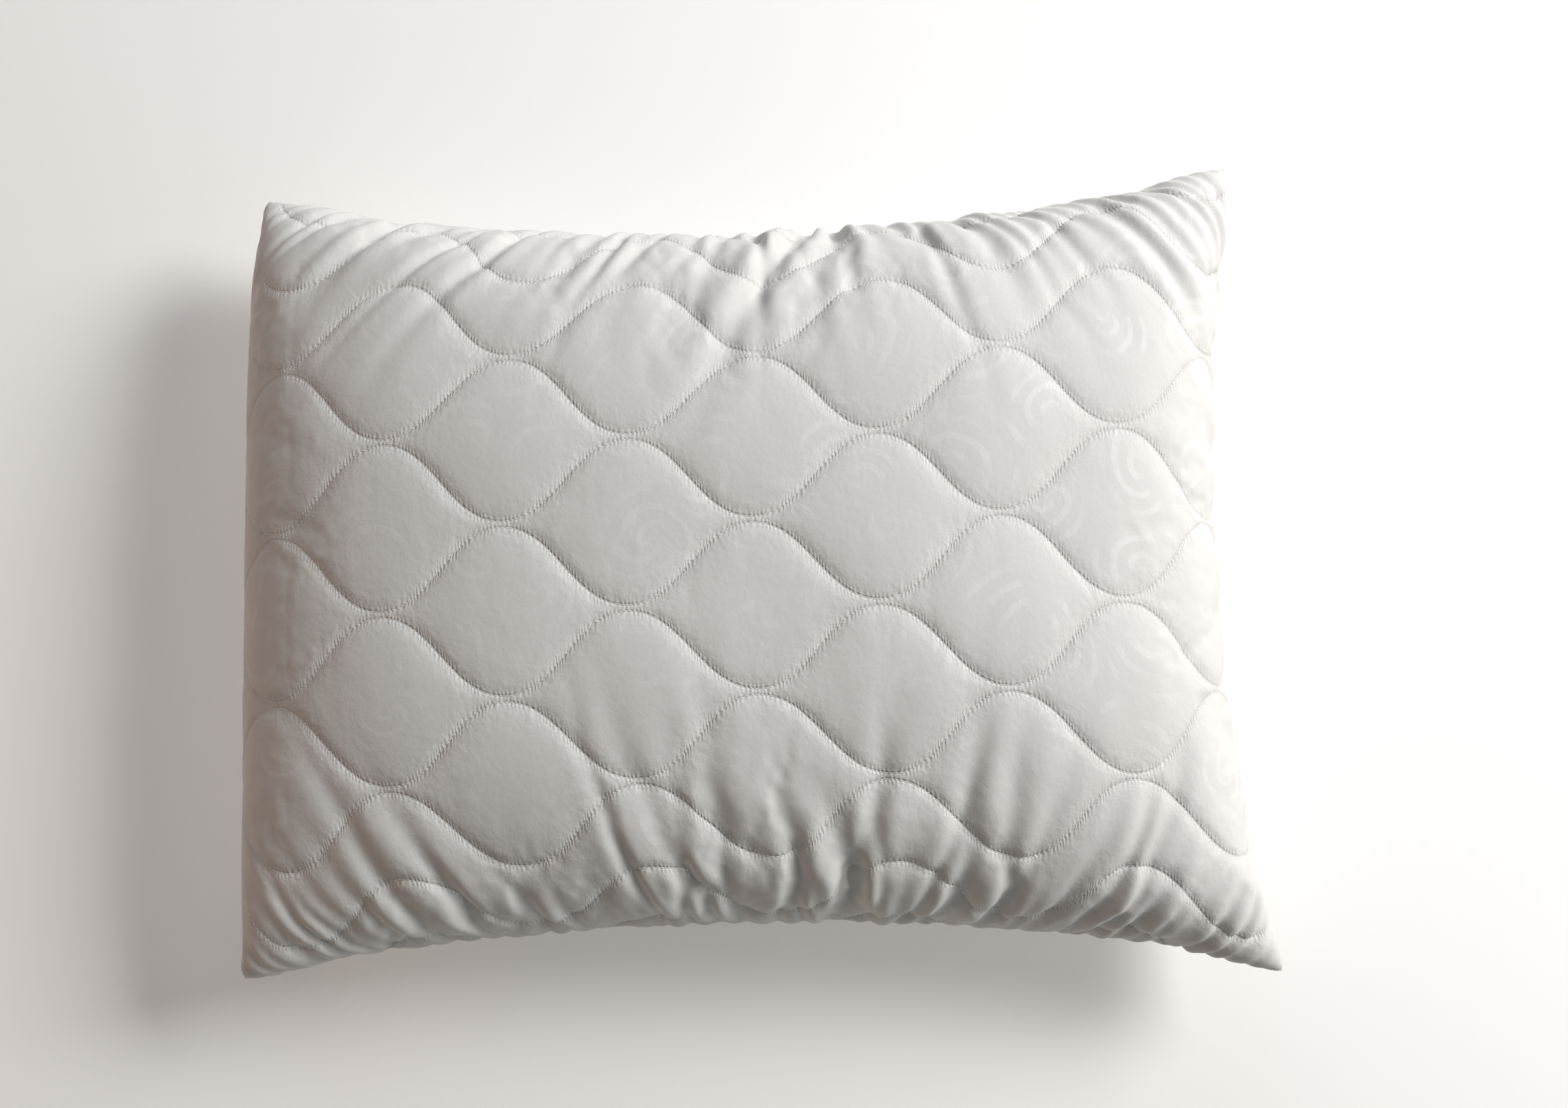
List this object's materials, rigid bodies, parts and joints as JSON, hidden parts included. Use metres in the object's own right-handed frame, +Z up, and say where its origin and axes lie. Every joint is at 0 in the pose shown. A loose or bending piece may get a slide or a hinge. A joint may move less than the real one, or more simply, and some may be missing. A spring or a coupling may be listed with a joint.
{
  "type": "bed pillow",
  "caption": "Quilted rectangular bed pillow with a padded cover closed by a side zip and a fibre-filled inner pillow, lying flat.",
  "frame": {"origin": "middle of the footprint, on the surface that the pillow lies on", "axes": "+X along the long sides, away from the zip; +Y along the short sides, towards the back edge; +Z up"},
  "size_m": [0.622, 0.5, 0.1524],
  "materials": {
    "face_cloth": "embossed microfibre, soft sheen",
    "wadding": "bonded fleece",
    "lining": "spunbonded nonwoven",
    "thread": "spun polyester thread",
    "label": "satin",
    "zip_tape": "woven tape",
    "zip_coil": "nylon coil",
    "zip_metal": "white lacquer",
    "inner_case": "plain microfibre",
    "fill": "hollow polyester fibre"
  },
  "bodies": {
    "pillow": {"top_face_cloth": "face_cloth", "top_wadding": "wadding", "top_lining": "lining", "top_quilting_thread": "thread", "back_face_cloth": "face_cloth", "back_wadding": "wadding", "back_lining": "lining", "back_quilting_thread": "thread", "side_seam_thread": "thread", "bound_seam_edge": "thread", "care_label": "label", "zip_tape_upper": "zip_tape", "zip_tape_lower": "zip_tape", "zip_coil_upper": "zip_coil", "zip_coil_lower": "zip_coil", "zip_end_tacks": "thread", "zip_stitching": "thread", "inner_case_top": "inner_case", "inner_case_back": "inner_case", "inner_case_thread": "thread", "fibre_fill": "fill"},
    "slider": {"zip_slider": "zip_metal"},
    "pull": {"zip_pull": "zip_metal"}
  },
  "joints": [
    {"name": "zip_travel", "type": "slide", "parent": "pillow", "child": "slider", "axis": [0, -1, 0], "range_m": [0, 0.384]},
    {"name": "pull_swing", "type": "hinge", "parent": "slider", "child": "pull", "pos_m": [-0.29975, 0.186, 0.066], "axis": [0, 0, -1], "range_deg": [0, 170]}
  ]
}
